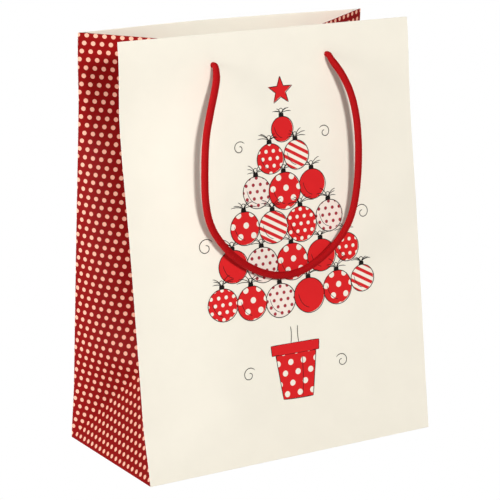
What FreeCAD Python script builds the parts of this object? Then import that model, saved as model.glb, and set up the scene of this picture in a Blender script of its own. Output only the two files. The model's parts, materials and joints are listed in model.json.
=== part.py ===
import FreeCAD, Part
import math
import os

from FreeCAD import Placement, Rotation, Vector

# A rope-handled gift bag of folded paper, standing on its base with its mouth a little closed.
# Millimetres. The origin is the middle of the base's underside, +Z is up, the front faces -Y
# and X runs across the front.

# The folded sheet
bag_width = 254.0        # across the front, from side edge to side edge
bag_depth = 134.0        # front to back at the base
panel_height = 330.0     # from the base fold to the top fold, along the sheet
panel_lean = 6.0         # degrees that the front and the back lean in at rest
paper = 0.3              # thickness of the printed sheet
fold_gap = 0.3           # left between two leaves that a fold joins on the real sheet
floor_gap = 0.35         # height of the side walls' lowest edge over the table
hem_gap = 0.15           # between a twisted gusset leaf and the hem turned in on it
foot_height = 75.5       # of the gusset's foot triangle, up the middle of the sheet
middle_gap_top = 0.4     # from the bag's middle plane to a gusset leaf's inner edge, at the mouth
middle_gap_foot = 3.2    # the same at the foot, where the folding leaf swings furthest

# Turned-in hem, and the card strip that it hides
hem_height = 40.0
hem_end_inset = 9.0      # from the side edges, so that the folded gusset has room
card = 0.8
card_height = 36.0
card_end_inset = 10.0

# Glue flap that closes the sheet into a tube
seam_flap_width = 13.0
seam_flap_inset = 2.0    # from the side edge
seam_flap_gap = 1.5      # to the base board below and the hem above

# Base: two long flaps, two end flaps and a loose board
base_inset = 1.0         # of the flaps, from the walls
outer_flap_depth = 100.0
inner_flap_depth = 90.0
flap_mitre = 14.0
end_flap_length = 62.0
board = 1.0
board_inset = 2.5

# Rope handles
rope = 5.5               # diameter
hole = 6.0               # diameter
hole_spacing = 100.0
hole_drop = 23.0         # from the top fold to the holes
exit_reach = 6.0         # from the panel's face to where the rope turns down, on the swing axis
rope_gap = 0.35          # between the rope fixed in the hole and the rope that swings
knot = 13.0              # diameter of the knot inside
knot_sink = 1.5          # how much of the knot is pressed flat against the hem
knot_tail = 16.0         # from the knot's middle to the rope's cut end

# The hanging loop of a handle, from its left hole to its right one: distance from the bag's
# middle, drop below the holes, and stand-off of the rope's centre from the panel's face.
handle_route = [
    (-52.0, 8.0, 8.0),
    (-56.0, 19.0, 10.5),
    (-62.0, 34.0, 12.5),
    (-67.5, 52.0, 13.0),
    (-70.0, 76.0, 12.5),
    (-70.5, 100.0, 11.0),
    (-66.5, 118.0, 9.2),
    (-57.0, 132.5, 7.4),
    (-46.0, 144.0, 6.0),
    (-33.0, 153.5, 4.8),
    (-18.0, 161.0, 3.9),
    (-3.0, 164.5, 3.4),
    (13.0, 163.5, 3.4),
    (27.5, 158.0, 3.9),
    (40.5, 149.5, 5.1),
    (52.0, 138.0, 6.8),
    (60.0, 123.5, 8.6),
    (64.5, 102.0, 10.6),
    (66.5, 76.0, 12.4),
    (66.0, 50.0, 13.0),
    (62.5, 30.0, 12.0),
    (57.0, 16.0, 10.2),
    (53.0, 7.0, 8.0),
]

half_width = bag_width / 2
half_depth = bag_depth / 2
rope_radius = rope / 2
knot_radius = knot / 2
hem_face = paper + card + paper          # how far in the hem's inner face lies
leaf_edge = 3 * paper + fold_gap         # how far in a gusset leaf's outer edge lies, its fold line
hole_height = panel_height - hole_drop
board_underside = 3 * paper
board_top = board_underside + board

X = Vector(1, 0, 0)
Y = Vector(0, 1, 0)
Z = Vector(0, 0, 1)
ORIGIN = Vector(0, 0, 0)

nodes = {}


def save(name, shape):
    """Keeps one closed solid as a node."""
    if len(shape.Solids) != 1 or not shape.isValid():
        raise ValueError(name + " is not one valid solid")
    nodes[name] = shape.Solids[0]


def mirrored(shape, normal):
    return shape.mirror(ORIGIN, normal)


# A panel is modelled upright: x across, y inwards from its outer face, z up the sheet.
# These placements lean it on the base's front or back edge.
front_place = Placement(Vector(0, -half_depth, 0), Rotation(X, -panel_lean))
back_place = Placement(ORIGIN, Rotation(Z, 180)).multiply(front_place)


def slab(x0, x1, y0, y1, z0, z1):
    return Part.makeBox(x1 - x0, y1 - y0, z1 - z0, Vector(x0, y0, z0))


def placed(shape, place):
    copy = shape.copy()
    copy.Placement = place.multiply(shape.Placement)
    return copy


def with_rope_holes(shape):
    for side in (-1, 1):
        at = Vector(side * hole_spacing / 2, -1, hole_height)
        shape = shape.cut(Part.makeCylinder(hole / 2, hem_face + 2, at, Y))
    return shape


# Front and back: panel, card strip, hem

def panel_sheet():
    return with_rope_holes(slab(-half_width, half_width, 0, paper, floor_gap, panel_height))


def card_strip():
    reach = half_width - card_end_inset
    top = panel_height - paper
    return with_rope_holes(slab(-reach, reach, paper, paper + card, top - card_height, top))


def hem():
    """The leaf turned in over the card, with the fold that bridges the card's top edge."""
    reach = half_width - hem_end_inset
    leaf = slab(-reach, reach, paper + card, hem_face, panel_height - hem_height, panel_height)
    fold = slab(-reach, reach, paper, paper + card, panel_height - paper, panel_height)
    return with_rope_holes(leaf.fuse(fold).removeSplitter())


def seam_flap():
    outer = half_width - seam_flap_inset
    low = board_top + seam_flap_gap
    high = panel_height - hem_height - seam_flap_gap
    return slab(outer - seam_flap_width, outer, paper, 2 * paper, low, high)


# Rope handles

def rope_knot(side):
    """Knot behind a hole, with the rope through the hole and its cut end hanging down."""
    x = side * hole_spacing / 2
    centre = Vector(x, hem_face + knot_radius - knot_sink, hole_height)
    ball = Part.makeSphere(knot_radius, centre)
    ball = ball.cut(slab(x - knot, x + knot, hem_face - knot, hem_face, hole_height - knot, hole_height + knot))
    outer_end = -(exit_reach - rope_radius - rope_gap)
    through = Part.makeCylinder(rope_radius, centre.y - outer_end, Vector(x, outer_end, hole_height), Y)
    tail = Part.makeCylinder(rope_radius, knot_tail, centre, -Z)
    return ball.fuse([through, tail]).removeSplitter()


def handle_points():
    """The loop's points in the panel's upright frame, from exit to exit."""
    first = Vector(-hole_spacing / 2, -exit_reach, hole_height)
    last = Vector(hole_spacing / 2, -exit_reach, hole_height)
    between = [Vector(x, -stand_off, hole_height - drop) for x, drop, stand_off in handle_route]
    return [first] + between + [last]


def rope_path(points):
    """Straight runs joined by tangent arcs, each as large as its two runs allow."""
    edges, radii = [], []
    start = points[0]
    for before, corner, after in zip(points, points[1:], points[2:]):
        to_before = (before - corner).normalize()
        to_after = (after - corner).normalize()
        half_turn = (math.pi - to_before.getAngle(to_after)) / 2
        tangent = 0.45 * min((before - corner).Length, (after - corner).Length)
        radius = tangent / math.tan(half_turn)
        radii.append(radius)
        enter = corner + to_before * tangent
        leave = corner + to_after * tangent
        bisector = (to_before + to_after).normalize()
        middle = corner + bisector * (radius / math.cos(half_turn) - radius)
        edges.append(Part.LineSegment(start, enter).toShape())
        edges.append(Part.Arc(enter, middle, leave).toShape())
        start = leave
    edges.append(Part.LineSegment(start, points[-1]).toShape())
    return Part.Wire(edges), radii


def handle_rope():
    """A round rope along the loop, with a half ball at each exit that the handle swings on."""
    points = handle_points()
    path, radii = rope_path(points)
    first_way = (points[1] - points[0]).normalize()
    last_way = (points[-2] - points[-1]).normalize()
    section = Part.Wire([Part.makeCircle(rope_radius, points[0], first_way)])
    tube = path.makePipeShell([section], True, True)
    area = math.pi * rope_radius ** 2
    print("rope length %.1f, volume over section times length %.4f" % (path.Length, tube.Volume / (area * path.Length)))
    print("rope arc radii " + " ".join("%.0f" % radius for radius in radii))
    ends = [Part.makeSphere(rope_radius, points[0], first_way, -90, 0, 360),
            Part.makeSphere(rope_radius, points[-1], last_way, -90, 0, 360)]
    return tube.fuse(ends).removeSplitter()


# Gussets: a foot triangle, two leaves that fold inwards on the middle crease, and their hems

lean = math.radians(panel_lean)
# The sheet keeps its lengths, which sets how far the foot leans in for a given panel lean.
foot_lean = math.acos((1 - half_depth / foot_height * math.sin(lean)) / math.cos(lean))


def crease_top(foot_tip, corner):
    """Top of the middle crease: half a depth from the panel's top corner, a crease from the foot."""
    near = math.sqrt(half_depth ** 2 - corner.y ** 2)
    far = panel_height - foot_height
    dx, dz = corner.x - foot_tip.x, corner.z - foot_tip.z
    apart = math.hypot(dx, dz)
    along = (far ** 2 - near ** 2 + apart ** 2) / (2 * apart)
    beside = math.sqrt(far ** 2 - along ** 2)
    return Vector(foot_tip.x + (along * dx + beside * dz) / apart, 0,
                  foot_tip.z + (along * dz - beside * dx) / apart)


def gusset_points():
    """Outer-face points of the left gusset's front leaf: base and top corner, foot tip, crease top."""
    base_corner = front_place.multVec(Vector(-half_width, leaf_edge, floor_gap))
    top_corner = front_place.multVec(Vector(-half_width, leaf_edge, panel_height))
    foot_tip = Vector(-half_width + foot_height * math.sin(foot_lean), 0, foot_height * math.cos(foot_lean))
    return base_corner, top_corner, foot_tip, crease_top(foot_tip, top_corner)


def leaf_inwards():
    """Unit vector towards the inside, square to the middle of the front leaf."""
    base_corner, top_corner, foot_tip, top = gusset_points()
    square = (top - base_corner).cross(foot_tip - top_corner).normalize()
    if square.y > 0:
        square = -square
    return square


def gusset_leaf():
    """Front leaf of the left gusset, a sheet with a slight twist between foot and top."""
    base_corner, top_corner, foot_tip, top = gusset_points()
    lift = (top_corner - base_corner).normalize() * 2 * fold_gap
    outer = Part.makeLine(base_corner + lift, top_corner)
    inner = Part.makeLine(foot_tip + lift - Y * middle_gap_foot, top - Y * middle_gap_top)
    return Part.makeRuledSurface(outer, inner).extrude(leaf_inwards() * paper)


def gusset_hem(leaf):
    """The leaf's turned-in top, lying on its inside face."""
    base_corner, top_corner, foot_tip, top = gusset_points()
    square = leaf_inwards()
    low_outer = top_corner + (base_corner - top_corner).normalize() * hem_height
    low_inner = top + (foot_tip - top).normalize() * hem_height
    way = (low_inner - low_outer).normalize()
    spare = hem_height
    corners = [low_outer - way * spare - square * spare, low_inner + way * spare - square * spare,
               low_inner + way * spare + square * spare, low_outer - way * spare + square * spare]
    up = way.cross(square).normalize()
    if up.z < 0:
        up = -up
    above = Part.Face(Part.makePolygon(corners + corners[:1])).extrude(up * 3 * hem_height)
    shifted = leaf.copy()
    shifted.translate(square * (paper + hem_gap))
    return shifted.common(above)


def gusset_foot():
    """Triangle at the left end, leaning in from the base's edge to the foot of the middle crease."""
    base_corner, _, foot_tip, _ = gusset_points()
    reach = abs(base_corner.y)
    slope = (foot_tip - Vector(-half_width, 0, base_corner.z)).normalize()
    tip = foot_tip - slope * 2 * fold_gap
    corners = [Vector(-half_width, -reach, base_corner.z), Vector(-half_width, reach, base_corner.z), tip]
    inwards = slope.cross(Y)
    if inwards.x < 0:
        inwards = -inwards
    return Part.Face(Part.makePolygon(corners + corners[:1])).extrude(inwards * paper)


# Base

def long_flap(depth, level):
    """Base flap folded in from the front edge, with mitred free corners."""
    reach = half_width - base_inset
    edge = -(half_depth - base_inset)
    free = edge + depth
    outline = [(-reach, edge), (reach, edge), (reach, free - flap_mitre), (reach - flap_mitre, free),
               (-reach + flap_mitre, free), (-reach, free - flap_mitre)]
    corners = [Vector(x, y, level) for x, y in outline]
    return Part.Face(Part.makePolygon(corners + corners[:1])).extrude(Z * paper)


def end_flap():
    outer = -(half_width - base_inset)
    reach = half_depth - base_inset
    return slab(outer, outer + end_flap_length, -reach, reach, 2 * paper, 3 * paper)


def base_board():
    across, deep = half_width - board_inset, half_depth - board_inset
    return slab(-across, across, -deep, deep, board_underside, board_top)


# Assembly

save("base_outer_flap", long_flap(outer_flap_depth, 0))
save("base_inner_flap", mirrored(long_flap(inner_flap_depth, paper), Y))
save("base_left_end_flap", end_flap())
save("base_right_end_flap", mirrored(end_flap(), X))
save("base_board", base_board())

for side_name, place, left in (("front", front_place, -1), ("back", back_place, 1)):
    save(side_name + "_panel", placed(panel_sheet(), place))
    save(side_name + "_card_strip", placed(card_strip(), place))
    save(side_name + "_hem", placed(hem(), place))
    save(side_name + "_left_knot", placed(rope_knot(left), place))
    save(side_name + "_right_knot", placed(rope_knot(-left), place))
    save(side_name + "_handle_rope", placed(handle_rope(), place))
save("back_seam_flap", placed(seam_flap(), back_place))

front_leaf = gusset_leaf()
front_leaf_hem = gusset_hem(front_leaf)
for side_name, flip in (("left", False), ("right", True)):
    pieces = {"gusset_foot": gusset_foot(),
              "gusset_front_leaf": front_leaf, "gusset_front_hem": front_leaf_hem,
              "gusset_back_leaf": mirrored(front_leaf, Y), "gusset_back_hem": mirrored(front_leaf_hem, Y)}
    for piece_name, shape in pieces.items():
        save(side_name + "_" + piece_name, mirrored(shape, X) if flip else shape)

os.makedirs("parts", exist_ok=True)
for node_name, solid in nodes.items():
    solid.exportStep("parts/" + node_name + ".step")

swing_point = front_place.multVec(Vector(0, -exit_reach, hole_height))
fold_point = front_place.multVec(Vector(-half_width, leaf_edge, half_width))
fold_way = front_place.Rotation.multVec(Z)
print("%d nodes" % len(nodes))
print("front handle swings on y %.3f z %.3f" % (swing_point.y, swing_point.z))
print("left front leaf folds on x %.3f y %.3f z %.3f" % tuple(fold_point))
print("along x %.6f y %.6f z %.6f" % tuple(fold_way))
print("foot leans %.2f degrees" % math.degrees(foot_lean))
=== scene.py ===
import json
from math import atan2, cos, hypot, pi, radians, sin, sqrt

import bpy
import numpy as np
from mathutils import Matrix, Vector


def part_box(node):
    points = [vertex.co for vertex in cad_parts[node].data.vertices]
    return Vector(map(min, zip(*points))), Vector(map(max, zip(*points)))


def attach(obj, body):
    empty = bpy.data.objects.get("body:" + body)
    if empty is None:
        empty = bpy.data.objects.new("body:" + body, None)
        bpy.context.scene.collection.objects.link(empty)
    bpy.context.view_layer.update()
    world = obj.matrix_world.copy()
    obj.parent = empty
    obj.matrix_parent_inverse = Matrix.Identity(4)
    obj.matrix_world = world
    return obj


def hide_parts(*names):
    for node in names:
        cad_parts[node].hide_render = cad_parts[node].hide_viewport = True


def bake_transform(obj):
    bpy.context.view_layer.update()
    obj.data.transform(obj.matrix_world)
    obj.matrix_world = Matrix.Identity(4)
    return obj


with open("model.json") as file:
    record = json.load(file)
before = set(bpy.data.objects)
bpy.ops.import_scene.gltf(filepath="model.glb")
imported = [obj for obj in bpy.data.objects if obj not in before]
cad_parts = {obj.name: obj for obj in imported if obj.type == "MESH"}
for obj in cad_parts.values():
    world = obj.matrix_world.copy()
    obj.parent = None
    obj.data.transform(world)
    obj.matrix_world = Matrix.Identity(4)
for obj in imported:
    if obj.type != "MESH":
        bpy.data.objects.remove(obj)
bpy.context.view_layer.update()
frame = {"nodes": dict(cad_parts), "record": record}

signs = {"left": -1, "right": 1}

# ------------------------ sizes, metres

joints = {joint["name"]: joint for joint in frame["record"]["behaviour"]["joints"]}
half_depth = -joints["front_wall_tilt"]["pos_m"][1]
half_width = -joints["left_front_leaf_fold"]["pos_m"][0]
fold_axis = joints["left_front_leaf_fold"]["axis"]
lean = atan2(abs(fold_axis[1]), abs(fold_axis[2]))
panel_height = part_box("front_panel")[1].z / cos(lean)
floor_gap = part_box("front_panel")[0].z
foot_tip_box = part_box("left_gusset_foot")[1]
foot_height = hypot(foot_tip_box.x + half_width, foot_tip_box.z)
crease_top_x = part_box("left_gusset_front_leaf")[1].x

paper = 0.0003  # the printed sheet
card = 0.0008  # board strip inside the turned-in hem of each panel
card_play = 0.00003  # between that strip and the paper on each side of it
card_height = 0.036
card_end_inset = 0.010
card_top_play = 0.0007  # between that strip and the fold over it
hem_height = 0.040
hem_end_inset = 0.009
edge_play = 0.00002  # between a panel's upright edge and the gusset's corner crease
tuck = paper * 0.6  # how far in from a panel's outer face the gusset is folded from it
seam_flap_width = 0.013
seam_flap_inset = 0.0035
seam_flap_start = 0.006  # up the panel, and how far below the hem the flap ends
seam_flap_end = 0.004
seam_flap_depth = paper * 2.2
flap_gap = 0.00008  # between a base flap and the foot of its panel, so that the panel can tilt
crease_set_back = 0.004  # the middle crease's top has been pressed this far back of the middle
crease_play = 0.00006  # of each leaf, from that crease's true line
crease_settle = 0.2  # share of the crease over which it leaves the straight line from the foot
leaf_hem_radius = paper + 0.00008
leaf_hem_ends = (0.10, 0.97)  # where its hem starts and ends, as shares of the leaf's width
leaf_hem_slack = 0.002  # how far past the hem's height its last row may lie
foot_lap = 0.15  # how much further than its crease the gusset's foot runs up behind the leaves
lap_columns = 4  # of a leaf's columns, for the strip behind its middle crease
lap_top_rows = 3  # how many of a leaf's rows that strip stops short of the mouth
lap_stand_off = 0.0013  # of that strip, from the face of the leaf that hides it

# Points of each grid: up and across a sheet, and round the fold at its top.
wall_rows, wall_columns, wall_fold_rows = 61, 73, 8
leaf_low_rows, leaf_high_rows, leaf_columns, leaf_fold_rows = 16, 53, 25, 6
foot_rows, foot_columns = 25, 33

rope_radius = 0.00265
rope_step = 0.00042  # along the cord, from one ring of its mesh to the next
hole_height = panel_height - 0.023
hole_spacing = 0.100
hole_pinch = 0.82  # of the rope's radius, in its holes
pinch_run = (0.003, 0.014)  # from the rope's end, where it grows back to its full radius
knot_squeeze = 0.94  # of the rope's radius, in its knots
round_run = 0.55  # of its radius: over how much of its end a cord is rounded off
round_depth = 0.97  # how nearly that rounding closes the end
stitches_round = 14
stitch_length = 0.0021
stitch_depth = 0.00032
stitch_crown = 1.6  # how far a stitch rises, in stitch depths
close_hang = 0.0030  # the back rope hangs closer: of what its route has beyond this,
close_share = 0.15  # only this share is left

ink = 0.00002  # how far one printed colour stands off the one below it
pen = 0.62  # the printed pen line's width, in millimetres
fine_pen, thin_pen, needle_pen = pen * 0.7, pen * 0.8, pen * 0.85

# Across the panel, below the holes, and off the panel, in millimetres.
handle_route = [
    (-50, 0, -0.9), (-50, 0, 1.6), (-50, 0.8, 3.9), (-50.3, 4.5, 5.0), (-51.8, 10.5, 7.4),
    (-55.6, 19, 10), (-62, 34, 12.5), (-67.5, 52, 13),
    (-70, 76, 12.5), (-70.5, 100, 11), (-66.5, 118, 9.2), (-57, 132.5, 7.4),
    (-46, 144, 6), (-33, 153.5, 4.8), (-18, 161, 3.9), (-3, 164.5, 3.4),
    (13, 163.5, 3.4), (27.5, 158, 3.9), (40.5, 149.5, 5.1), (52, 138, 6.8),
    (60, 123.5, 8.6), (64.5, 102, 10.6), (66.5, 76, 12.4), (66, 50, 13),
    (62.5, 30, 12), (57, 16, 9.8), (52.8, 8, 7), (50.6, 3.8, 5.0), (50, 0.8, 3.9),
    (50, 0, 1.6), (50, 0, -0.9),
]
bend_start = (0, 0, 1)  # a place near the handle's exits, in the same terms; its point is worked out below but not used
bend_end = (0, 9, 6)  # and a place further along it, likewise worked out but not used

# Across from the hole, off the panel's outer face inwards, and up, in millimetres.
knot_route = [
    (0, 0.5, 0), (0, 1.5, 0), (0.2, 3.0, 0.2), (0.6, 4.8, 0.6), (3.6, 6.4, 3.4),
    (3.8, 10.6, 3.8), (-1.2, 12.0, 3.6), (-4.4, 8.6, 0.8), (-3.4, 5.0, -3.2),
    (1.4, 4.4, -3.6), (4.0, 8.2, -1.0), (1.8, 11.0, 0.6), (-1.6, 8.4, 1.2),
    (-2.0, 7.4, -3.6), (-0.8, 8.2, -9.0), (0.4, 8.0, -14.5),
]


# ------------------------ shapes

def ease(start, end, value):
    t = np.clip((value - start) / (end - start), 0, 1)
    return t * t * (3 - 2 * t)


# How far the folded gussets pull each upright edge in, all the way up and more at the shoulder.
edge_pull = {
    ("front", "left"): (0.0042, 0.0022),
    ("front", "right"): (0.0008, 0.0012),
    ("back", "left"): (0.0026, 0.0004),
    ("back", "right"): (0.0020, 0.0010),
}
pull_starts = (0, 0.05)  # heights between which the pull grows
pull_ends = (0.27, 0.322)  # and between which it fades
pull_reach = 0.085  # how far in from the edge it is felt
shoulder_height = 0.25
shoulder_spread = 0.045

# How far the middle of each panel's top edge stands out of line.
mouth_belly = {"front": 0.0008, "back": 0.0062}
belly_middle = -0.012  # its furthest point, across the bag
belly_roundness = 1.3
body_share = 0.2  # how much of it the panel shows below its hem
body_lift = (0.10, 0.29)  # heights between which that grows
mouth_lift = 0.288  # heights between which the rest grows
mouth_top = 0.330
mouth_roundness = 1.1

# A panel's slight waves: their height, and their pace and phase across and up.
wave_height = 0.00025
wave_across = (31, 1.1)
wave_up = (17, 0.4)
wave_starts = (0, 0.04)
wave_ends = (0.27, 0.31)


def pull(wall, side, up):
    steady, shoulder = edge_pull[(wall, side)]
    body = ease(*pull_starts, up) * (1 - ease(*pull_ends, up))
    return steady * body + shoulder * np.exp(-((up - shoulder_height) / shoulder_spread) ** 2)


def bow(wall, x, up):
    """How far in from its flat shape a panel lies: pulled, waved and bellied."""
    pulled = pull(wall, "left", up) * (1 - ease(0, pull_reach, x + half_width))
    pulled = pulled + pull(wall, "right", up) * (1 - ease(0, pull_reach, half_width - x))
    wave = wave_height * np.sin(x * wave_across[0] + wave_across[1]) * np.sin(up * wave_up[0] + wave_up[1])
    wave = wave * ease(*wave_starts, up) * (1 - ease(*wave_ends, up))
    off_middle = x - belly_middle
    reach = np.where(off_middle < 0, half_width + belly_middle, half_width - belly_middle)
    across = np.clip(off_middle / reach, -1, 1)
    rising = np.clip((up - mouth_lift) / (mouth_top - mouth_lift), 0, 1) ** mouth_roundness
    lift = body_share * ease(*body_lift, up) + (1 - body_share) * rising
    belly = -mouth_belly[wall] * np.cos(across * pi / 2) ** belly_roundness * lift
    return pulled + wave + belly


def wall_points(wall, x, inwards, up, bowed=True):
    """Points by their place across the bag, in from a panel's outer face, and up its sheet."""
    x, inwards, up = np.broadcast_arrays(x, inwards, up)
    if bowed:
        inwards = inwards + bow(wall, x, up)
    reach = half_depth - inwards * cos(lean) - up * sin(lean)
    y = -reach if wall == "front" else reach
    return np.stack([x, y, up * cos(lean) - inwards * sin(lean)], -1)


def grid_normals(points, turned):
    along = np.gradient(points, axis=1)
    up = np.gradient(points, axis=0)
    normals = np.cross(along, up)
    return normals / np.linalg.norm(normals, axis=-1, keepdims=True) * (-1 if turned else 1)


def linked(name, data):
    """A new object of the scene that shows this data."""
    obj = bpy.data.objects.new(name, data)
    bpy.context.scene.collection.objects.link(obj)
    return obj


def mesh_object(name, points, faces, materials, indices=None, uv=None, smooth=True):
    mesh = bpy.data.meshes.new(name)
    mesh.from_pydata(np.asarray(points).reshape(-1, 3).tolist(), [], faces)
    for material in materials:
        mesh.materials.append(material)
    if indices is not None:
        mesh.polygons.foreach_set("material_index", indices)
    if uv is not None:
        layer = mesh.uv_layers.new(name="sheet")
        corners = np.zeros(len(mesh.loops), int)
        mesh.loops.foreach_get("vertex_index", corners)
        layer.data.foreach_set("uv", np.asarray(uv).reshape(-1, 2)[corners].ravel())
    mesh.polygons.foreach_set("use_smooth", [smooth] * len(mesh.polygons))
    mesh.update()
    return linked(name, mesh)


def quads(rows, columns, first=0, turned=False):
    faces = []
    for row in range(rows - 1):
        for column in range(columns - 1):
            a = first + row * columns + column
            face = (a, a + 1, a + 1 + columns, a + columns)
            faces.append(face[::-1] if turned else face)
    return faces


def rim_quads(rows, columns, turned=False):
    under = rows * columns
    ring = [(0, c) for c in range(columns)]
    ring += [(r, columns - 1) for r in range(1, rows)]
    ring += [(rows - 1, c) for c in range(columns - 2, -1, -1)]
    ring += [(r, 0) for r in range(rows - 2, 0, -1)]
    ring = [r * columns + c for r, c in ring]
    faces = []
    for here, there in zip(ring, ring[1:] + ring[:1]):
        face = (here, here + under, there + under, there)
        faces.append(face[::-1] if turned else face)
    return faces


def paper_sheet(name, points, uv, papers, turned=False):
    """A closed sheet of paper. The three papers are its printed face, its back and its cut edges."""
    rows, columns = points.shape[:2]
    normals = grid_normals(points, turned)
    both = np.concatenate([points.reshape(-1, 3), (points - normals * paper).reshape(-1, 3)])
    front = quads(rows, columns, 0, turned)
    back = quads(rows, columns, rows * columns, not turned)
    rim = rim_quads(rows, columns, turned)
    indices = [0] * len(front) + [1] * len(back) + [2] * len(rim)
    flat = np.concatenate([uv.reshape(-1, 2), uv.reshape(-1, 2)]) * 1000
    obj = mesh_object(name, both, front + back + rim, papers, indices, flat)
    mark_rim_sharp(obj)
    return obj


def mark_rim_sharp(obj):
    mesh = obj.data
    owners = {}
    for polygon in mesh.polygons:
        for key in polygon.edge_keys:
            owners.setdefault(key, set()).add(polygon.material_index == 2)
    sharp = [len(owners[tuple(sorted(edge.vertices))]) > 1 for edge in mesh.edges]
    layer = mesh.attributes.new("sharp_edge", "BOOLEAN", "EDGE")
    layer.data.foreach_set("value", sharp)


# ------------------------ colours and shader parts

def linear(hex_colour):
    """An sRGB colour as the linear values that Blender's shaders take."""
    levels = [int(hex_colour[i:i + 2], 16) / 255 for i in (0, 2, 4)]
    values = [v / 12.92 if v <= 0.04045 else ((v + 0.055) / 1.055) ** 2.4 for v in levels]
    return (*values, 1.0)


class Shader:
    """A material under construction, with one method for each kind of step that it needs."""

    def __init__(self, name):
        self.material = bpy.data.materials.new(name)
        self.material.use_nodes = True
        self.tree = self.material.node_tree
        self.surface = self.tree.nodes["Principled BSDF"]

    def node(self, kind, inputs=(), **settings):
        made = self.tree.nodes.new("ShaderNode" + kind)
        for key, value in settings.items():
            setattr(made, key, value)
        for key, value in dict(inputs).items():
            self.put(made.inputs[key], value)
        return made

    def put(self, socket, value):
        """Gives a socket another node's output, a hex colour or a plain value."""
        if isinstance(value, bpy.types.NodeSocket):
            self.tree.links.new(value, socket)
        else:
            socket.default_value = linear(value) if isinstance(value, str) else value

    def math(self, operation, first, second=0.0, third=0.0):
        return self.node("Math", enumerate((first, second, third)), operation=operation).outputs[0]

    def between(self, value, low, high):
        """0 below low, 1 above high, smooth between."""
        inputs = {"Value": value, "From Min": low, "From Max": high}
        return self.node("MapRange", inputs, interpolation_type="SMOOTHSTEP").outputs[0]

    def mix(self, factor, first, second):
        return self.node("Mix", {"Factor": factor, 6: first, 7: second}, data_type="RGBA").outputs[2]

    def sheet(self):
        """The place on the flat sheet in millimetres, as a vector and as its two parts."""
        vector = self.node("UVMap", uv_map="sheet").outputs[0]
        parts = self.node("SeparateXYZ", {"Vector": vector})
        return vector, parts.outputs[0], parts.outputs[1]

    def noise(self, vector, scale, detail=3.0, roughness=0.55):
        inputs = {"Vector": vector, "Scale": scale, "Detail": detail, "Roughness": roughness}
        return self.node("TexNoise", inputs).outputs[0]

    def bump(self, height, distance, strength=1.0, below=None):
        inputs = {"Height": height, "Distance": distance, "Strength": strength}
        if below is not None:
            inputs["Normal"] = below
        return self.node("Bump", inputs).outputs[0]

    def finish(self, colour, roughness, normal=None, **more):
        more.update(Base_Color=colour, Roughness=roughness)
        if normal is not None:
            more["Normal"] = normal
        for key, value in more.items():
            self.put(self.surface.inputs[key.replace("_", " ")], value)
        return self.material


far_off = 1000.0  # further than any place on a sheet, in millimetres
dot_blur = 0.09  # how soft a printed dot's edge is, in millimetres


def paper_grain(shader, vector, ground, depth=0.02):
    """The slight clouds, fibres and pressed grain that any paper shows."""
    clouds = shader.between(shader.noise(vector, scale=0.035, detail=4.0), low=0.3, high=0.7)
    fibres = shader.noise(vector, scale=1.6, detail=5.0, roughness=0.7)
    tone = shader.math("MULTIPLY_ADD", clouds, depth, 1.0 - depth / 2)
    tone = shader.math("MULTIPLY_ADD", fibres, depth * 0.8, shader.math("SUBTRACT", tone, depth * 0.4))
    hsv = shader.node("HueSaturation", {"Color": ground, "Value": tone})
    return hsv.outputs[0], shader.bump(fibres, distance=0.00003, strength=0.5)


def fold_wear(shader, across, places, vector):
    """Where the coating has cracked along the creases that run up the sheet."""
    nearest = far_off
    for place in places:
        off = shader.math("ABSOLUTE", shader.math("SUBTRACT", across, place))
        nearest = shader.math("MINIMUM", nearest, off)
    broken = shader.between(shader.noise(vector, scale=0.9, detail=4.0), low=0.42, high=0.62)
    worn = shader.math("SUBTRACT", 1.0, shader.between(nearest, low=0.05, high=0.35))
    return shader.math("MULTIPLY", worn, broken)


def dots(shader, across, up, spacing, row_height, row_shift, radius, start):
    """1 inside round dots that stand in level rows, each row shifted from the one below. All sizes
    are in millimetres."""
    rise = shader.math("SUBTRACT", up, start[1])
    row = shader.math("ROUND", shader.math("DIVIDE", rise, row_height))
    above = shader.math("MULTIPLY_ADD", row, -row_height, rise)
    along = shader.math("MULTIPLY_ADD", row, -row_shift, shader.math("SUBTRACT", across, start[0]))
    beside = shader.math("WRAP", along, spacing / 2, -spacing / 2)
    squares = [shader.math("MULTIPLY", part, part) for part in (above, beside)]
    distance = shader.math("SQRT", shader.math("ADD", *squares))
    return shader.math("SUBTRACT", 1.0, shader.between(distance, radius - dot_blur, radius + dot_blur))


def cream_paper():
    # Matt-coated cream paper, offset printed: the bag's front and back.
    shader = Shader("cream_printed_paper")
    colour, normal = paper_grain(shader, shader.sheet()[0], "F6F0E1")
    return shader.finish(colour, 0.55, normal, Specular_IOR_Level=0.35)


def plain_paper(name, tone):
    # The same sheet's uncoated white back, which lines the bag.
    shader = Shader(name)
    colour, normal = paper_grain(shader, shader.sheet()[0], tone, 0.03)
    return shader.finish(colour, 0.85, normal, Specular_IOR_Level=0.2)


def dotted_paper():
    # Matt-coated paper printed solid red, with small dots left in cream: the gussets.
    shader = Shader("red_dotted_paper")
    vector, across, up = shader.sheet()
    corner_creases = (0.0, 2000 * half_depth)
    wear = fold_wear(shader, across, corner_creases, vector)
    ground = shader.mix(wear, "8C0506", "DE8B86")
    spots = dots(shader, across, up, spacing=6.8, row_height=6.24, row_shift=1.84, radius=1.72,
                 start=(13.2, 303.6))
    colour = shader.mix(spots, ground, "F8BCA2")
    colour, normal = paper_grain(shader, vector, colour, 0.04)
    return shader.finish(colour, 0.55, normal, Specular_IOR_Level=0.12)


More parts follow.
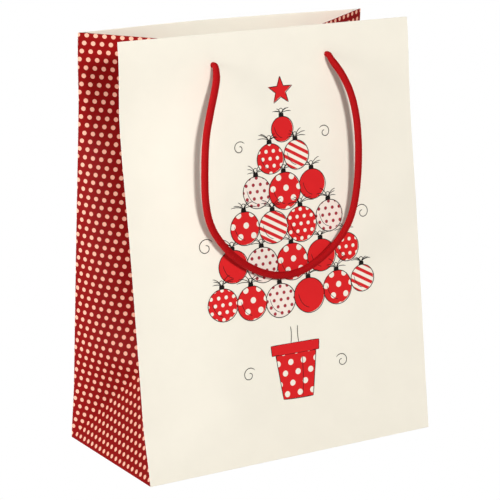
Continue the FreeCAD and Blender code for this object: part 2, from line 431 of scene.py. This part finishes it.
def board():
    # Uncoated grey-white solid board, die cut: the base's stiffener and the hem strips.
    shader = Shader("die_cut_solid_board")
    vector = shader.node("TexCoord").outputs["Object"]
    specks = shader.between(shader.noise(vector, scale=2600.0, detail=2.0), low=0.66, high=0.74)
    ground = shader.mix(specks, "DCD7CB", "A79F90")
    clouds = shader.noise(vector, scale=60.0, detail=4.0)
    value = shader.math("MULTIPLY_ADD", clouds, 0.1, 0.95)
    hsv = shader.node("HueSaturation", {"Color": ground, "Value": value})
    fibres = shader.noise(vector, scale=1500.0, detail=4.0)
    normal = shader.bump(fibres, distance=0.00004, strength=0.6)
    return shader.finish(hsv.outputs[0], 0.9, normal, Specular_IOR_Level=0.2)


def flap_paper(name, tone):
    # Folded and glued paper of the base, seen only from below or deep inside.
    shader = Shader(name)
    vector = shader.node("TexCoord").outputs["Object"]
    fibres = shader.noise(vector, scale=1500.0, detail=5.0, roughness=0.7)
    clouds = shader.noise(vector, scale=40.0, detail=3.0)
    value = shader.math("MULTIPLY_ADD", fibres, 0.03, 0.965)
    value = shader.math("ADD", value, shader.math("MULTIPLY", clouds, 0.03))
    hsv = shader.node("HueSaturation", {"Color": tone, "Value": value})
    normal = shader.bump(fibres, distance=0.00003, strength=0.5)
    return shader.finish(hsv.outputs[0], 0.7, normal, Specular_IOR_Level=0.3)


def rope_yarn():
    # Red polypropylene yarn, knitted into a round cord, with painted shade darkening the hollows between its
    # stitches.
    shader = Shader("knitted_red_cord")
    hollow = shader.node("Attribute", attribute_name="stitch").outputs["Fac"]
    strands = shader.noise(shader.sheet()[0], scale=3.2, detail=3.0, roughness=0.6)
    # Painted shade: dark red in the hollows between stitches, full red on their crowns.
    deep = shader.mix(shader.between(hollow, low=0.0, high=0.75), "5E0306", "B6070E")
    colour = shader.mix(shader.between(strands, low=0.35, high=0.75), deep, "C40A11")
    normal = shader.bump(strands, distance=0.00012, strength=0.6)
    return shader.finish(colour, 0.68, normal, Specular_IOR_Level=0.1, Sheen_Weight=0.012)


# Spacing, row height, row shift, radius, start and colour of each dotted ink's dots.
dotted_inks = {
    "cream_dots": (6.4, 5.6, 3.2, 1.45, (0.0, 0.0), "F6EEDF"),
    "big_cream_dots": (11.5, 8.2, 5.4, 2.35, (1.5, 2.0), "F6EEDF"),
    "wine_dots": (6.2, 5.2, 3.0, 1.35, (0.6, 0.4), "A3303B"),
}
stripe_slope = 0.55
stripe_spacing = 6.0
stripe_edge = (1.35, 1.5)  # from a stripe's middle, where its colour gives way


def ink_colour(name, tone, pattern=None):
    # Offset ink on the coated paper.
    shader = Shader(name)
    vector, across, up = shader.sheet()
    colour = tone
    if pattern in dotted_inks:
        *sizes, spot = dotted_inks[pattern]
        colour = shader.mix(dots(shader, across, up, *sizes), colour, spot)
    if pattern == "stripes":
        slant = shader.math("MULTIPLY_ADD", across, stripe_slope, up)
        band = shader.math("WRAP", slant, stripe_spacing / 2, -stripe_spacing / 2)
        band = shader.math("ABSOLUTE", band)
        colour = shader.mix(shader.between(band, *stripe_edge), colour, "F6EEDF")
    colour, normal = paper_grain(shader, vector, colour, 0.03)
    return shader.finish(colour, 0.55, normal, Specular_IOR_Level=0.12)


# ------------------------ ropes

def smooth_line(name, points):
    """Points along the smooth curve that these control points give."""
    curve = bpy.data.curves.new(name, "CURVE")
    curve.dimensions = "3D"
    spline = curve.splines.new("NURBS")
    spline.points.add(len(points) - 1)
    for knot, point in zip(spline.points, points):
        knot.co = (*point, 1.0)
    spline.order_u = 3
    spline.use_endpoint_u = True
    spline.resolution_u = 24
    holder = linked(name, curve)
    bpy.context.view_layer.update()
    mesh = bpy.data.meshes.new_from_object(holder)
    line = np.array([vertex.co[:] for vertex in mesh.vertices])
    bpy.data.objects.remove(holder)
    bpy.data.curves.remove(curve)
    bpy.data.meshes.remove(mesh)
    return line


def even_line(line, step):
    """The same line with points evenly spaced along it, and how far along each lies."""
    runs = np.linalg.norm(np.diff(line, axis=0), axis=1)
    reach = np.concatenate([[0], np.cumsum(runs)])
    count = max(8, int(round(reach[-1] / step)))
    places = np.linspace(0, reach[-1], count + 1)
    return np.stack([np.interp(places, reach, line[:, i]) for i in range(3)], 1), places


def carried_frames(line):
    """At each point the way on, and two more directions that never twist about it."""
    ways = np.gradient(line, axis=0)
    ways /= np.linalg.norm(ways, axis=1, keepdims=True)
    never_along = (0.3, 0.9, 0.2)
    side = np.cross(ways[0], never_along)
    sides = []
    for way in ways:
        side = side - way * (side @ way)
        side = side / np.linalg.norm(side)
        sides.append(side)
    sides = np.array(sides)
    return ways, sides, np.cross(ways, sides)


def rope_mesh(name, line, material, radius=rope_radius, pinched=1.0):
    """A knitted cord along a line: a tube whose skin rises and falls stitch by stitch, with its
    ends rounded off like a ball."""
    line, places = even_line(line, rope_step)
    ways, sides, thirds = carried_frames(line)
    columns = 4 * stitches_round
    angles = np.linspace(0, 2 * pi, columns, endpoint=False)
    turn = stitches_round / 2 * angles[None, :]
    run = pi * places[:, None] / stitch_length
    stitch = np.abs(np.sin(turn + run)) * np.abs(np.sin(turn - run))
    reach = radius - stitch_depth + stitch_depth * stitch_crown * np.sqrt(stitch)
    from_end = np.minimum(places, places[-1] - places)
    reach = reach * (pinched + (1 - pinched) * ease(*pinch_run, from_end))[:, None]
    first, last = (np.clip(1 - gap / (round_run * radius), 0, 1) for gap in (places, places[-1] - places))
    reach = reach * np.sqrt(1 - (np.maximum(first, last) * round_depth) ** 2)[:, None]
    around = np.cos(angles)[None, :, None] * sides[:, None]
    around = around + np.sin(angles)[None, :, None] * thirds[:, None]
    shift = ((1 - round_run) * radius * (last - first))[:, None, None] * ways[:, None]
    points = line[:, None] + around * reach[..., None] + shift
    rows = len(line)
    faces = []
    for row in range(rows - 1):
        for column in range(columns):
            a = row * columns + column
            b = row * columns + (column + 1) % columns
            faces.append((a, b, b + columns, a + columns))
    faces.append(tuple(range(columns))[::-1])
    faces.append(tuple((rows - 1) * columns + column for column in range(columns)))
    along = np.repeat(places[:, None], columns, 1)
    uv = np.stack([along, np.repeat(angles[None] * radius, rows, 0)], -1) * 1000
    obj = mesh_object(name, points, faces, [material], None, uv)
    # Each point's stitch height, which the yarn's shader uses for its painted shade in the hollows.
    depth = obj.data.attributes.new("stitch", "FLOAT", "POINT")
    depth.data.foreach_set("value", stitch.ravel().astype(np.float32))
    return obj


def handle_place(wall, place):
    """A point of the handle's route. The back handle is the front one turned round."""
    across, drop, off = (value / 1000 for value in place)
    if wall == "back":
        across = -across
        off = min(off, close_hang) + max(off - close_hang, 0) * close_share
    inwards = bow(wall, hole_spacing / 2, hole_height) - off
    return wall_points(wall, across, inwards, hole_height - drop, bowed=False)


def handle(wall, yarn):
    points = [handle_place(wall, place) for place in handle_route]
    line = smooth_line(wall + "_handle_line", points)
    obj = rope_mesh(wall + "_handle", line, yarn, pinched=hole_pinch)
    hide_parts(wall + "_handle_rope")
    start, end = (handle_place(wall, place) for place in (bend_start, bend_end))
    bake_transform(obj)


def knot(wall, side, yarn):
    across, inwards, up = (np.array(column) / 1000 for column in zip(*knot_route))
    sign = signs[side]
    inwards = inwards + bow(wall, hole_spacing / 2, hole_height)
    out = sign * (hole_spacing / 2 + across)
    points = wall_points(wall, out, inwards, hole_height + up, bowed=False)
    line = smooth_line(wall + side + "_knot_line", points)
    obj = rope_mesh(wall + "_" + side + "_rope_knot", line, yarn, rope_radius * knot_squeeze)
    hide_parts(wall + "_" + side + "_knot")
    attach(obj, wall + "_wall")


# ------------------------ walls and gussets

def folded_profile():
    """Up the outside, over the top fold and down the hem: how far in and how far up each row lies."""
    radius = (2 * paper + card) / 2
    ups = list(floor_gap + (panel_height - radius - floor_gap) * np.linspace(0, 1, wall_rows))
    ins = [0.0] * wall_rows
    for angle in np.linspace(0, pi, wall_fold_rows + 1)[1:]:
        ups.append(panel_height - radius + radius * sin(angle))
        ins.append(radius - radius * cos(angle))
    for share in np.linspace(0, 1, wall_fold_rows + 1)[1:]:
        ups.append(panel_height - radius - share * (hem_height - radius))
        ins.append(2 * radius)
    return np.array(ins), np.array(ups)


def wall_sheet(wall, papers):
    """The panel with its top folded in as the hem. The hem stops short of the corners."""
    ins, ups = folded_profile()
    full = half_width - edge_play
    narrow = half_width - hem_end_inset
    reach = np.full(len(ups), narrow)
    reach[:wall_rows] = full
    reach[wall_rows:wall_rows + wall_fold_rows] = np.linspace(full, narrow, wall_fold_rows)
    x = np.linspace(-1, 1, wall_columns)[None] * reach[:, None]
    points = wall_points(wall, x, ins[:, None], ups[:, None])
    uv = np.stack(np.broadcast_arrays(x, (ups + ins)[:, None]), -1)
    obj = paper_sheet(wall + "_wall_sheet", points, uv, papers, turned=wall == "back")
    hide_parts(wall + "_panel", wall + "_hem")
    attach(obj, wall + "_wall")


def leaf_corners(side):
    """Where a gusset's middle crease meets its foot, and the crease's top."""
    sign = signs[side]
    crease_run = panel_height - foot_height
    tip = np.array([sign * abs(foot_tip_box.x), 0.0, foot_tip_box.z])
    rise = sqrt(crease_run ** 2 - (abs(crease_top_x) - abs(foot_tip_box.x)) ** 2)
    top = np.array([sign * abs(crease_top_x), crease_set_back, tip[2] + rise])
    return tip, top


# How far the middle of a leaf springs outwards, where that grows and fades, and how much of it
# each leaf takes: the front leaves lie flatter.
swell_depth = 0.0078
swell_starts = (0.0, 0.17)
swell_ends = (0.22, 0.298)
leaf_spring = {"front": 0.35, "back": 1.0}


def swell(up):
    """How far the middle of a leaf springs outwards from the straight line between its creases."""
    return swell_depth * ease(*swell_starts, up) * (1 - ease(*swell_ends, up))


def middle_crease(side, up):
    """The gusset's middle crease at each height on the sheet. A leaf keeps its width all the way, so
    its chord is shorter by what a shallow arc of that rise takes up."""
    sign = signs[side]
    tip, top = leaf_corners(side)
    front = wall_points("front", sign * half_width, 0, up)[:, 1]
    back = wall_points("back", sign * half_width, 0, up)[:, 1]
    share = np.clip((up - foot_height) / (panel_height - foot_height), 0, 1)
    chord = half_depth * (1 - 8 / 3 * (swell(up) / half_depth) ** 2)
    x = sign * (half_width - np.sqrt(chord ** 2 - ((back - front) / 2) ** 2))
    y = (front + back) / 2 + crease_set_back * share
    z = tip[2] + share * (top[2] - tip[2])
    straight = tip + share[:, None] * (top - tip)
    settled = ease(0.0, crease_settle, share)[:, None]
    return straight * (1 - settled) + np.stack([x, y, z], 1) * settled


def leaf_grid(side, wall):
    """One half of a gusset, from the corner crease to the middle crease: points and flat places."""
    sign = signs[side]
    tip = leaf_corners(side)[0]
    leaf_start = 0.006
    low = foot_height * np.linspace(leaf_start, 1, leaf_low_rows + 1)[:-1]
    up = np.concatenate([low, np.linspace(foot_height, panel_height, leaf_high_rows)])
    across = np.linspace(0, 1, leaf_columns)[None, :]
    edge = wall_points(wall, sign * half_width, tuck, up)
    corner = wall_points(wall, sign * half_width, tuck, np.array([floor_gap]))
    inner = middle_crease(side, up)
    slant = np.clip(up / foot_height, 0, 1)[:, None]
    inner = np.where(slant < 1, corner + (tip - corner) * slant, inner)
    inner = inner + [0, -crease_play if wall == "front" else crease_play, 0]
    rise = swell(up) * slant[:, 0] ** 2 * leaf_spring[wall]
    points = sprung_rows(edge, inner, across, rise, sign)
    flat_across = across * half_depth * slant
    if wall == "front":
        flat_across = 2 * half_depth - flat_across
    return points, np.stack(np.broadcast_arrays(flat_across, up[:, None]), -1)


def leaf_sheet(side, wall, papers):
    """A leaf with its hem turned in."""
    points, uv = leaf_grid(side, wall)
    turned = (side == "left") == (wall == "front")
    points, uv = turn_hem(points, uv, turned)
    obj = paper_sheet(side + "_" + wall + "_leaf_sheet", points, uv, papers, turned)
    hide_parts(side + "_gusset_" + wall + "_leaf", side + "_gusset_" + wall + "_hem")
    blend_leaf(obj)


def crease_lap(side, papers):
    """A strip that runs on from the back leaf, behind the front leaf, and keeps the middle crease
    shut as the two fold. Over the leaf's hem its inside is printed too."""
    points, uv = leaf_grid(side, "front")
    turned = side == "left"
    normals = grid_normals(points, turned)
    behind = points - normals * lap_stand_off
    strip = (slice(leaf_low_rows, -lap_top_rows), slice(-lap_columns, None))
    obj = paper_sheet(side + "_crease_lap", behind[strip], uv[strip], papers, turned)
    hem_start = (panel_height - hem_height) * cos(lean)
    for face in obj.data.polygons:
        if face.material_index == 1 and face.center.z > hem_start:
            face.material_index = 0
    blend_leaf(obj)


def sprung_rows(edge, inner, across, rise, sign):
    """Each row of a leaf as a shallow arc from its outer to its inner edge, its columns evenly spaced."""
    chord = inner - edge
    length = np.linalg.norm(chord[:, :2], axis=1)
    outward = np.stack([chord[:, 1], -chord[:, 0], 0 * length], 1) / length[:, None]
    outward *= np.where(outward[:, :1] * sign > 0, 1, -1)
    least_turn = 0.001
    turn = np.maximum(8 * rise / length, least_turn)[:, None]
    angle = turn * (across - 0.5)
    along = 0.5 + np.sin(angle) / (2 * np.sin(turn / 2))
    off = rise[:, None] * (np.cos(angle) - np.cos(turn / 2)) / (1 - np.cos(turn / 2))
    return edge[:, None] + chord[:, None] * along[..., None] + outward[:, None] * off[..., None]


def blend_leaf(obj):
    """Bakes the leaf's placement into its mesh."""
    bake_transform(obj)


def turn_hem(points, uv, turned):
    """Adds the rows of the hem, folded over the top edge and down the inside."""
    facing = grid_normals(points, turned)
    normals = facing[-1]
    downward = points[-2] - points[-1]
    downward /= np.linalg.norm(downward, axis=-1, keepdims=True)
    radius = leaf_hem_radius
    share = np.linspace(0, 1, points.shape[1])
    inset = np.linspace(*leaf_hem_ends, points.shape[1])
    rows, flats = [], []
    top = points[-1].copy()
    points = points.copy()
    points[-1] = top + downward * radius
    for angle in np.linspace(0, pi, leaf_fold_rows + 1)[1:]:
        over = downward * radius * sin(angle)
        rows.append(points[-1] - over - normals * radius * (1 - cos(angle)))
        flats.append(uv[-1] + [0, radius * angle])
    folded = flats[-1]
    depths = np.linalg.norm(points - top, axis=-1).mean(axis=1)
    for row in np.flatnonzero(depths < hem_height + leaf_hem_slack)[-2::-1]:
        rows.append(points[row] - facing[row] * radius * 2)
        flats.append(folded + [0, depths[row]])
    moved = []
    for index, row in enumerate(rows):
        keep = min(1.0, index / (leaf_fold_rows - 1))
        places = share * (1 - keep) + inset * keep
        moved.append(np.stack([np.interp(places, share, row[:, i]) for i in range(3)], 1))
    return np.concatenate([points, np.array(moved)]), np.concatenate([uv, np.array(flats)])


def foot_sheet(side, papers):
    """The triangle at a gusset's foot. It runs on a little behind the leaves, which keeps its
    slanting creases shut as they fold."""
    sign = signs[side]
    tip = leaf_corners(side)[0]
    tip = tip + (tip - [sign * half_width, 0, 0]) * foot_lap
    corner = wall_points("front", sign * half_width, tuck, floor_gap)
    blunt_tip = 0.998
    rise = np.linspace(0, blunt_tip, foot_rows)[:, None]
    across = np.linspace(-1, 1, foot_columns)[None, :]
    x = sign * half_width * (1 - rise) + tip[0] * rise
    y = -corner[1] * across * (1 - rise)
    z = corner[2] * (1 - rise) + tip[2] * rise
    points = np.stack(np.broadcast_arrays(x, y, z), -1)
    flat_across = half_depth - across * half_depth * (1 - rise)
    flat_up = foot_height * (1 + foot_lap) * rise
    uv = np.stack(np.broadcast_arrays(flat_across, flat_up), -1)
    obj = paper_sheet(side + "_foot_sheet", points, uv, papers, turned=side == "left")
    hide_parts(side + "_gusset_foot")
    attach(obj, side + "_foot")


def card_strip(wall, card_board):
    """The board inside the hem, bent with its panel."""
    reach = half_width - card_end_inset
    x = np.linspace(-reach, reach, 61)
    up = np.linspace(panel_height - card_height, panel_height - paper - card_top_play, 13)
    depths = (paper + card_play, paper + card - card_play)
    grid = [wall_points(wall, x[None], depth, up[:, None]).reshape(-1, 3) for depth in depths]
    rows, columns = len(up), len(x)
    turned = wall == "back"
    faces = quads(rows, columns, 0, turned) + quads(rows, columns, rows * columns, not turned)
    faces += rim_quads(rows, columns, turned)
    obj = mesh_object(wall + "_hem_board", np.concatenate(grid), faces, [card_board], smooth=False)
    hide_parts(wall + "_card_strip")
    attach(obj, wall + "_wall")


def base_flap(node, material):
    """A flap of the base, run out to the foot of the panel or gusset that it is folded from."""
    low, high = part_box(node)
    across = half_width - paper - flap_gap
    deep = half_depth - paper - flap_gap
    left = -across if low.x < -half_width / 2 else low.x
    right = across if high.x > half_width / 2 else high.x
    front = -deep if low.y < -half_depth / 2 else low.y
    back = deep if high.y > half_depth / 2 else high.y
    corners = ((left, front), (right, front), (right, back), (left, back))
    points = [(x, y, z) for z in (low.z, high.z) for x, y in corners]
    faces = [(3, 2, 1, 0), (4, 5, 6, 7), (0, 1, 5, 4), (1, 2, 6, 5), (2, 3, 7, 6), (3, 0, 4, 7)]
    obj = mesh_object(node + "_sheet", points, faces, [material], smooth=False)
    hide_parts(node)
    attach(obj, "base")


def seam_flap(papers):
    """The glued strip that closes the sheet, up one edge of the back panel's inside."""
    edge = -half_width + seam_flap_inset
    x = np.linspace(edge, edge + seam_flap_width, 5)
    up = np.linspace(seam_flap_start, panel_height - hem_height - seam_flap_end, 41)
    points = wall_points("back", x[None], seam_flap_depth, up[:, None])
    uv = np.stack(np.broadcast_arrays(x[None], up[:, None]), -1)
    obj = paper_sheet("back_glued_seam", points, uv, papers)
    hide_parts("back_seam_flap")
    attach(obj, "back_wall")


# ------------------------ printed design

class Print:
    """Flat shapes of ink on the front panel, each laid a hair above the last."""

    def __init__(self, materials):
        self.names = list(materials)
        self.materials = list(materials.values())
        self.points, self.uv, self.faces, self.indices = [], [], [], []
        self.layer = 1

    def add(self, flat, faces, colour, pattern_origin=(0, 0)):
        first = len(self.points)
        across, up = flat.T / 1000
        self.points.extend(wall_points("front", across, -ink * self.layer, up))
        self.uv.extend(flat - pattern_origin)
        self.faces.extend([tuple(first + i for i in face) for face in faces])
        self.indices.extend([self.names.index(colour)] * len(faces))

    def blob(self, centre, outline, colour):
        """A filled shape that its centre sees all of."""
        centre, outline = np.asarray(centre, float), np.asarray(outline, float)
        count = len(outline)
        flat = np.concatenate([[centre], (outline + centre) / 2, outline])
        turns = [(1 + i, 1 + (i + 1) % count) for i in range(count)]
        faces = [(0, here, there) for here, there in turns]
        faces += [(here, count + here, count + there, there) for here, there in turns]
        self.add(flat, faces, colour, centre)

    def stroke(self, line, width, colour="black", closed=False):
        """A pen line, a little thinner towards its ends."""
        line = np.asarray(line, float)
        if closed:
            line = np.concatenate([line, line[:1]])
        ways = np.gradient(line, axis=0)
        ways /= np.linalg.norm(ways, axis=1, keepdims=True)
        count = len(line)
        ends = np.ones(count)
        if not closed:
            tail_width, tail_points = 0.35, 3
            from_end = np.minimum(np.arange(count), np.arange(count)[::-1])
            ends = np.clip(from_end / tail_points + tail_width, 0, 1)
        side = np.stack([-ways[:, 1], ways[:, 0]], 1) * (width / 2 * ends)[:, None]
        flat = np.concatenate([line - side, line + side])
        faces = [(i, i + 1, count + i + 1, count + i) for i in range(count - 1)]
        self.add(flat, faces, colour)


def ring(centre, radius, count=48, wobble=0.0, phase=0.0):
    angles = np.linspace(0, 2 * pi, count, endpoint=False)
    reach = radius * (1 + wobble * np.sin(2 * angles + phase) + wobble * 0.6 * np.sin(3 * angles + 2 * phase))
    return np.stack([centre[0] + reach * np.cos(angles), centre[1] + reach * np.sin(angles)], 1)


def bauble(sheet, x, up, radius, fill, phase):
    """A round tree bauble: flat colour, a pen outline a little off it, its cap, loop and sprig."""
    first = sheet.layer
    sheet.blob((x, up), ring((x, up), radius), fill)
    sheet.layer = first + 1
    outline = ring((x + 0.35, up - 0.25), radius + 0.15, count=56, wobble=0.012, phase=phase)
    sheet.stroke(outline, pen, closed=True)
    bulge = (x - radius * 0.55, up - radius * 0.6)
    shade = arc_line((x - radius * 0.7, up + 2), bulge, (x, up - radius * 0.72))
    sheet.stroke(shade, fine_pen)
    brim = up + radius
    cap = [(x - 2.3, brim - 0.4), (x - 2.0, brim + 2.6), (x + 2.0, brim + 2.6), (x + 2.3, brim - 0.4)]
    sheet.blob((x, brim + 1.1), cap, "black")
    sheet.layer = first + 2
    sheet.stroke(ring((x, brim + 4.3), 1.8, count=20), thin_pen, closed=True)
    sprig(sheet, x, brim + 2.4, radius * 0.95, phase)


needle_angles = (8, 27, 48, 132, 153, 172)


def sprig(sheet, x, up, size, phase):
    """Fir needles in pen, fanned out to both sides of a bauble's cap."""
    for index, angle in enumerate(needle_angles):
        turn = radians(angle + 7 * sin(phase + 2.1 * index))
        reach = size * (0.82 + 0.18 * cos(phase * 1.3 + index))
        tip = (x + reach * cos(turn), up + reach * sin(turn) * 0.8)
        bulge = (x + reach * 0.5 * cos(turn), up + reach * (0.55 * sin(turn) + 0.16))
        sheet.stroke(arc_line((x, up), bulge, tip, count=12), needle_pen)


def curl(x, up, size, mirror):
    """A spiral from its outer end, where it is as wide as its size, to the small inner one."""
    start_angle, turns, closing = 0.6, 1.15, 0.78
    t = np.linspace(0, 1, 40)
    angle = start_angle + turns * 2 * pi * t
    reach = size * (1 - closing * t)
    return np.stack([x + mirror * reach * np.cos(angle), up + reach * np.sin(angle)], 1)


def arc_line(start, bulge, end, count=24):
    t = np.linspace(0, 1, count)[:, None]
    start, bulge, end = (np.array(p, float) for p in (start, bulge, end))
    return (1 - t) ** 2 * start + 2 * t * (1 - t) * bulge + t ** 2 * end


def star(sheet, x, up, radius):
    notch = 0.42
    points = []
    for index in range(10):
        reach = radius if index % 2 == 0 else radius * notch
        angle = pi / 2 + index * pi / 5
        points.append((x + reach * cos(angle), up + reach * sin(angle)))
    sheet.blob((x, up), points, "red")
    sheet.layer += 1
    outline = []
    for a, b in zip(points, points[1:] + points[:1]):
        outline += [np.array(a) + (np.array(b) - np.array(a)) * s for s in (0, 0.25, 0.5, 0.75)]
    sheet.stroke(np.array(outline) + (0.4, -0.3), pen, closed=True)


# The tub and its pen lines, from the middle of its foot: start, bulge and end of each line.
tub = [(-18, 37), (-13, 0), (14, -1), (19, 36)]
tub_lines = [
    ((-18, 37), (-15.3, 18), (-13, 0)),
    ((-13, 0), (0, -1.2), (14, -1)),
    ((19, 36), (16.8, 18), (14, -1)),
]
tub_fold = ((6, 33), (6.6, 16), (4.5, 0))
tub_rim = [(-21.5, 43), (-21, 35), (21.5, 34.5), (22, 42.5)]
trunk_lines = [((-3, 56), (-2, 50), (-3.4, 43)), ((3.4, 56), (2.6, 50), (3.6, 43))]


def pot(sheet, x, up):
    """The tree's trunk and its dotted tub, with a rim."""
    foot = np.array((x, up))
    sheet.blob(foot + (0, 18), foot + tub, "big_dotted")
    sheet.layer += 1
    for line in tub_lines:
        sheet.stroke(arc_line(*(foot + line)), pen)
    sheet.stroke(arc_line(*(foot + tub_fold)), thin_pen)
    sheet.layer += 1
    rim = foot + tub_rim
    sheet.blob(foot + (0, 39), rim, "red")
    sheet.layer += 1
    for start, end in zip(rim, np.roll(rim, -1, axis=0)):
        sheet.stroke(arc_line(start, (start + end) / 2, end), pen)
    for line in trunk_lines:
        sheet.stroke(arc_line(*(foot + line)), pen)


# Across the panel, up the panel, radius, fill: the tree's baubles, tier by tier from the top.
tiers = [
    [(6, 254, 9.5, "red")],
    [(-6, 232.5, 11.5, "dotted"), (17, 233.5, 11.0, "striped")],
    [(-19.5, 208.5, 12.0, "cream"), (5, 207, 14.0, "big_dotted"),
     (30, 209.5, 11.5, "red")],
    [(-32, 182.5, 12.5, "big_dotted"), (-7, 180.5, 12.5, "striped"),
     (18, 180, 13.5, "dotted"), (43.5, 183.5, 12.0, "cream")],
    [(-44, 155, 12.5, "red"), (-18.5, 153, 13.5, "cream"),
     (8, 152, 14.0, "big_dotted"), (34.5, 153.5, 12.5, "red"), (58, 157, 11.0, "dotted")],
    [(-55, 127, 12.5, "dotted"), (-30, 125, 13.0, "big_dotted"),
     (-4.5, 123.5, 13.0, "cream"), (21.5, 124, 13.5, "red"),
     (47.5, 126.5, 13.0, "big_dotted"), (71, 130.5, 10.5, "striped")],
]

# The loose curls beside it: across, up, size, and 1 or -1 for their hand.
curls = [
    (-66, 172, 7, 1), (75, 182, 6.5, -1), (-32, 243, 5.5, 1),
    (44, 248, 5.5, -1), (-36, 70, 6, 1), (48, 68, 6, -1),
]


def design():
    """A tree of round baubles in a tub with a star on top, in two reds and a pen line."""
    sheet = Print({
        "red": ink_colour("printed_red_ink", "DB2124"),
        "dotted": ink_colour("printed_red_with_dots", "DB2124", "cream_dots"),
        "big_dotted": ink_colour("printed_red_with_big_dots", "DB2124", "big_cream_dots"),
        "cream": ink_colour("printed_cream_with_wine_dots", "F4E6DA", "wine_dots"),
        "striped": ink_colour("printed_stripes", "D8262A", "stripes"),
        "black": ink_colour("printed_black_line", "1A1514"),
    })
    for row, tier in enumerate(tiers):
        for column, (x, up, radius, fill) in enumerate(tier):
            sheet.layer = 1 + 6 * (row % 2) + 3 * (column % 2)
            bauble(sheet, x, up, radius, fill, 1.7 * row + 2.3 * column)
    sheet.layer = 1
    star(sheet, 6.5, 283, 11)
    sheet.layer = 1
    pot(sheet, 6, 46)
    for place in curls:
        sheet.stroke(curl(*place), pen)
    obj = mesh_object("front_printed_design", sheet.points, sheet.faces, sheet.materials, sheet.indices,
                      sheet.uv, smooth=False)
    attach(obj, "front_wall")


# ------------------------ camera, floor and light

camera_angles = (-30.740, 13.844, -0.635)  # yaw, pitch and roll, in degrees
camera_place = (-0.7665, -1.2907, 0.5205)
camera_lens = 141.82
floor_reach = 3.0
floor_up = -0.0002

# Name, place, target, size and power of each lamp.
bag_middle = (0, 0, 0.17)
lamps = [
    ("key_light", (-0.30, -2.82, 1.4), bag_middle, 0.55, 64),
    ("back_light", (1.7, 2.5, 1.5), bag_middle, 1.6, 80),
    ("under_light", (0.2, -0.3, -2.2), (0, 0, 0), 1.6, 22),
    ("left_fill", (-3.05, -0.1, 0.9), bag_middle, 1.4, 84),
]
sky_power = 0.16


def camera():
    yaw, pitch, roll = (radians(angle) for angle in camera_angles)
    back = Vector((sin(yaw) * cos(pitch), -cos(yaw) * cos(pitch), sin(pitch)))
    right = Vector((cos(yaw), sin(yaw), 0))
    up = back.cross(right)
    across = right * cos(roll) + up * sin(roll)
    upright = up * cos(roll) - right * sin(roll)
    turn = Matrix((across, upright, back)).transposed().to_4x4()
    data = bpy.data.cameras.new("camera")
    data.lens = camera_lens
    data.sensor_width = 36
    data.clip_start = 0.05
    obj = linked("camera", data)
    obj.matrix_world = Matrix.Translation(camera_place) @ turn
    bpy.context.scene.camera = obj


def lamp(name, place, target, size, power):
    data = bpy.data.lights.new(name, "AREA")
    data.shape = "DISK"
    data.size = size
    data.energy = power
    obj = linked(name, data)
    obj.location = place
    obj.rotation_mode = "QUATERNION"
    obj.rotation_quaternion = (Vector(target) - Vector(place)).to_track_quat("-Z", "Y")


def camera_white(tree, other, kind):
    """White to the camera, and the other shader to every other ray."""
    path = tree.nodes.new("ShaderNodeLightPath")
    white = tree.nodes.new(kind)
    white.inputs[0].default_value = linear("FFFFFF")
    choice = tree.nodes.new("ShaderNodeMixShader")
    tree.links.new(path.outputs["Is Camera Ray"], choice.inputs[0])
    tree.links.new(other, choice.inputs[1])
    tree.links.new(white.outputs[0], choice.inputs[2])
    return choice.outputs[0]


def studio_floor():
    """White to the camera from above, clear from below and to the lamp under it."""
    shader = Shader("white_studio_floor")
    shader.finish("A5A4A2", 0.8)
    above = camera_white(shader.tree, shader.surface.outputs[0], "ShaderNodeEmission")
    facing = shader.node("NewGeometry").outputs["Backfacing"]
    shadow = shader.node("LightPath").outputs["Is Shadow Ray"]
    clearing = shader.math("MAXIMUM", facing, shadow)
    clear = shader.node("BsdfTransparent").outputs[0]
    either = shader.node("MixShader", {0: clearing, 1: above, 2: clear})
    shader.put(shader.tree.nodes["Material Output"].inputs[0], either.outputs[0])
    corners = [(x * floor_reach, y * floor_reach, floor_up) for x, y in ((-1, -1), (1, -1), (1, 1), (-1, 1))]
    floor = mesh_object("studio_floor", corners, [(0, 1, 2, 3)], [shader.material])


def studio_world():
    world = bpy.data.worlds.new("studio")
    bpy.context.scene.world = world
    world.use_nodes = True
    tree = world.node_tree
    light = tree.nodes["Background"]
    light.inputs[0].default_value = linear("FFFDFA")
    light.inputs[1].default_value = sky_power
    shown = camera_white(tree, light.outputs[0], "ShaderNodeBackground")
    tree.links.new(shown, tree.nodes["World Output"].inputs[0])


# ------------------------ assembly

camera()

yarn = rope_yarn()
for wall in ("front", "back"):
    handle(wall, yarn)
    for side in ("left", "right"):
        knot(wall, side, yarn)

cream = cream_paper()
white = plain_paper("uncoated_white_paper", "F3F0E9")
cut = plain_paper("cut_paper_edge", "FAF8F3")
dotted = dotted_paper()
for wall in ("front", "back"):
    wall_sheet(wall, (cream, white, cut))
    for side in ("left", "right"):
        leaf_sheet(side, wall, (dotted, white, cut))
for side in ("left", "right"):
    foot_sheet(side, (dotted, white, cut))
    crease_lap(side, (dotted, white, dotted))
seam_flap((white, white, cut))
design()

stiff_board = board()
for wall in ("front", "back"):
    card_strip(wall, stiff_board)
printed_flap = flap_paper("cream_paper_of_the_base", "F3ECDD")
end_flap = flap_paper("dotted_papers_plain_back", "F1EEE7")
for layer in ("outer", "inner"):
    base_flap("base_" + layer + "_flap", printed_flap)
for side in ("left", "right"):
    base_flap("base_" + side + "_end_flap", end_flap)
base_board = frame["nodes"]["base_board"]
base_board.data.materials.clear()
base_board.data.materials.append(stiff_board)

studio_floor()
studio_world()
for settings in lamps:
    lamp(*settings)
bpy.context.scene.view_settings.view_transform = "Standard"
